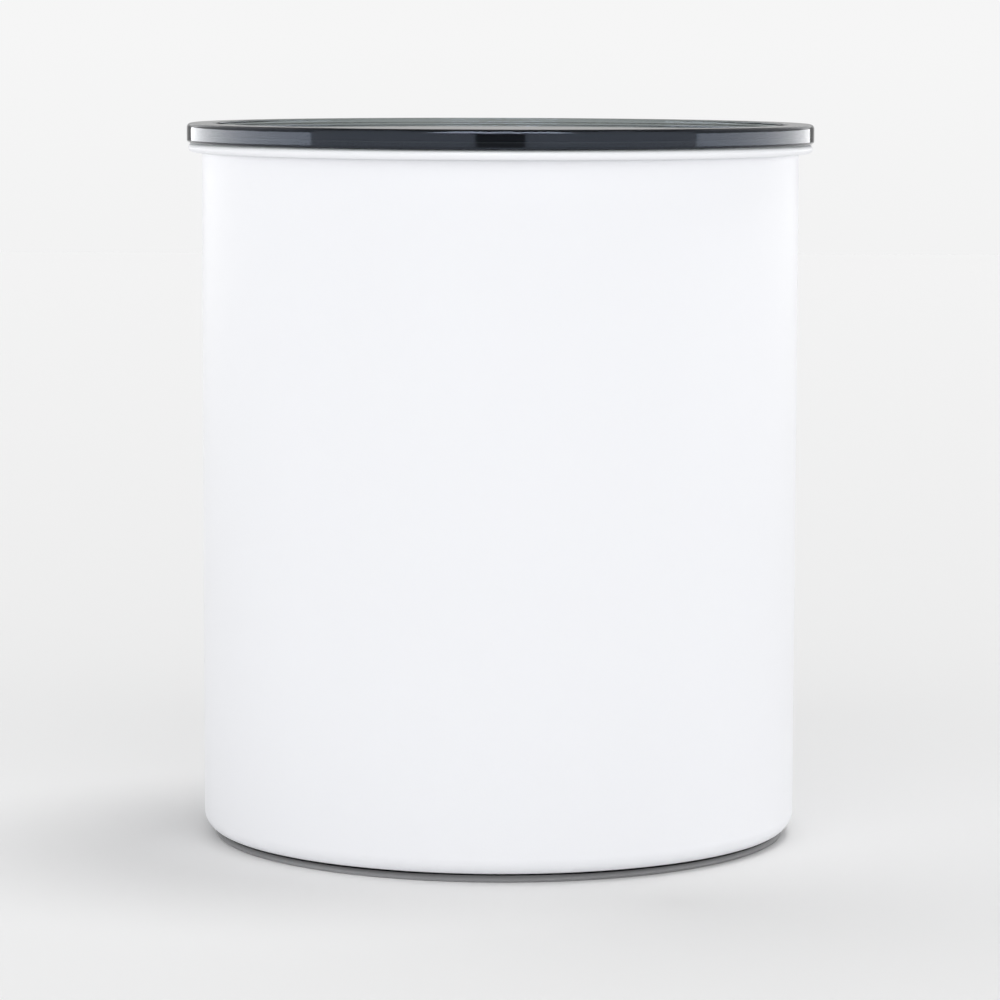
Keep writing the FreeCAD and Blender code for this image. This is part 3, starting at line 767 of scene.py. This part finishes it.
def step_up(tree, value, edge, softness):
    """0 below an edge and 1 above it, with a soft change between."""
    node = tree.nodes.new("ShaderNodeMapRange")
    node.interpolation_type = "SMOOTHSTEP"
    node.inputs["From Min"].default_value = math.radians(edge - softness)
    node.inputs["From Max"].default_value = math.radians(edge + softness)
    tree.links.new(value, node.inputs["Value"])
    return node.outputs["Result"]


def between(tree, value, low, high, softness):
    """1 between two angles and 0 outside them."""
    above_low = step_up(tree, value, low, softness)
    above_high = step_up(tree, value, high, softness)
    return calculate(tree, "SUBTRACT", above_low, above_high)


def panel_light(tree, azimuths, elevation, room, panels):
    """Light of a dim room with white panels."""
    total = room
    for side, (az_low, az_high), (el_low, el_high), softness, strength in panels:
        across = between(tree, azimuths[side], az_low, az_high, softness)
        along = between(tree, elevation, el_low, el_high, softness)
        panel = calculate(tree, "MULTIPLY", across, along)
        total = calculate(tree, "ADD", total, calculate(tree, "MULTIPLY", panel, strength))
    light = tree.nodes.new("ShaderNodeBackground")
    light.inputs["Color"].default_value = (1, 1, 1, 1)
    tree.links.new(total, light.inputs["Strength"])
    return light.outputs["Background"]


def choose(tree, factor, first, second):
    """One of two kinds of light: the first at 0 and the second at 1."""
    mix = tree.nodes.new("ShaderNodeMixShader")
    tree.links.new(factor, mix.inputs["Fac"])
    tree.links.new(first, mix.inputs[1])
    tree.links.new(second, mix.inputs[2])
    return mix.outputs["Shader"]


def studio_world():
    """Studio of soft panels. Matt surfaces are lit by the soft light and shiny ones mirror the other set.
    Azimuth counts from the camera's side of the canister. The camera, and what it sees through the lid,
    has a plain pale backdrop."""
    world = bpy.data.worlds.new("studio")
    bpy.context.scene.world = world
    world.use_nodes = True
    tree = world.node_tree
    nodes, links = tree.nodes, tree.links
    place = nodes.new("ShaderNodeTexCoord")
    split = nodes.new("ShaderNodeSeparateXYZ")
    links.new(place.outputs["Generated"], split.inputs["Vector"])
    towards = calculate(tree, "MULTIPLY", split.outputs["Y"], -1)
    right = calculate(tree, "ARCTAN2", split.outputs["X"], towards)
    azimuths = {
        "right": right,
        "left": calculate(tree, "MULTIPLY", right, -1),
        "both": calculate(tree, "ABSOLUTE", right),
    }
    elevation = calculate(tree, "ARCSINE", split.outputs["Z"])
    soft = panel_light(tree, azimuths, elevation, SOFT_ROOM, SOFT_LIGHT)
    mirrored = panel_light(tree, azimuths, elevation, MIRRORED_ROOM, MIRRORED_LIGHT)
    seen = nodes["Background"]
    seen.inputs["Color"].default_value = (1, 1, 1, 1)
    below = calculate(tree, "MINIMUM", split.outputs["Z"], 0)
    darker = calculate(tree, "MULTIPLY", below, FLOOR_NEAR_DROP / CAMERA_HEIGHT)
    links.new(calculate(tree, "ADD", darker, FLOOR_FAR_TONE), seen.inputs["Strength"])
    path = nodes.new("ShaderNodeLightPath")
    plain = calculate(tree, "MAXIMUM", path.outputs["Is Camera Ray"], path.outputs["Is Transmission Ray"])
    lit = choose(tree, path.outputs["Is Glossy Ray"], soft, mirrored)
    shown = choose(tree, plain, lit, seen.outputs["Background"])
    links.new(shown, nodes["World Output"].inputs["Surface"])


def soft_sun():
    """Broad light from high up, the one that casts the shadow."""
    lamp = bpy.data.lights.new("key_light", "SUN")
    lamp.angle = math.radians(SUN_SPREAD)
    lamp.energy = SUN_STRENGTH
    light = bpy.data.objects.new("key_light", lamp)
    bpy.context.scene.collection.objects.link(light)
    turn = math.radians(SUN_AZIMUTH)
    rise = math.radians(SUN_ELEVATION)
    way = Vector((math.cos(rise) * math.sin(turn), -math.cos(rise) * math.cos(turn), math.sin(rise)))
    light.rotation_euler = way.to_track_quat("Z", "Y").to_euler()
    light.visible_glossy = False


def photo_camera():
    """Camera at the photograph's viewing angle."""
    lens = bpy.data.cameras.new("photo_camera")
    lens.sensor_width = CAMERA_SENSOR
    lens.lens = CAMERA_LENS
    lens.clip_end = CAMERA_CLIP_END
    camera = bpy.data.objects.new("photo_camera", lens)
    bpy.context.scene.collection.objects.link(camera)
    camera.location = (CAMERA_ACROSS, -CAMERA_DISTANCE, CAMERA_HEIGHT)
    pitch = Matrix.Rotation(math.radians(90 - CAMERA_PITCH), 4, "X")
    roll = Matrix.Rotation(math.radians(CAMERA_ROLL), 4, "Z")
    camera.rotation_euler = (pitch @ roll).to_euler()
    bpy.context.scene.camera = camera


floor()
studio_world()
soft_sun()
photo_camera()
bpy.context.scene.view_settings.view_transform = "Standard"

bpy.context.view_layer.update()
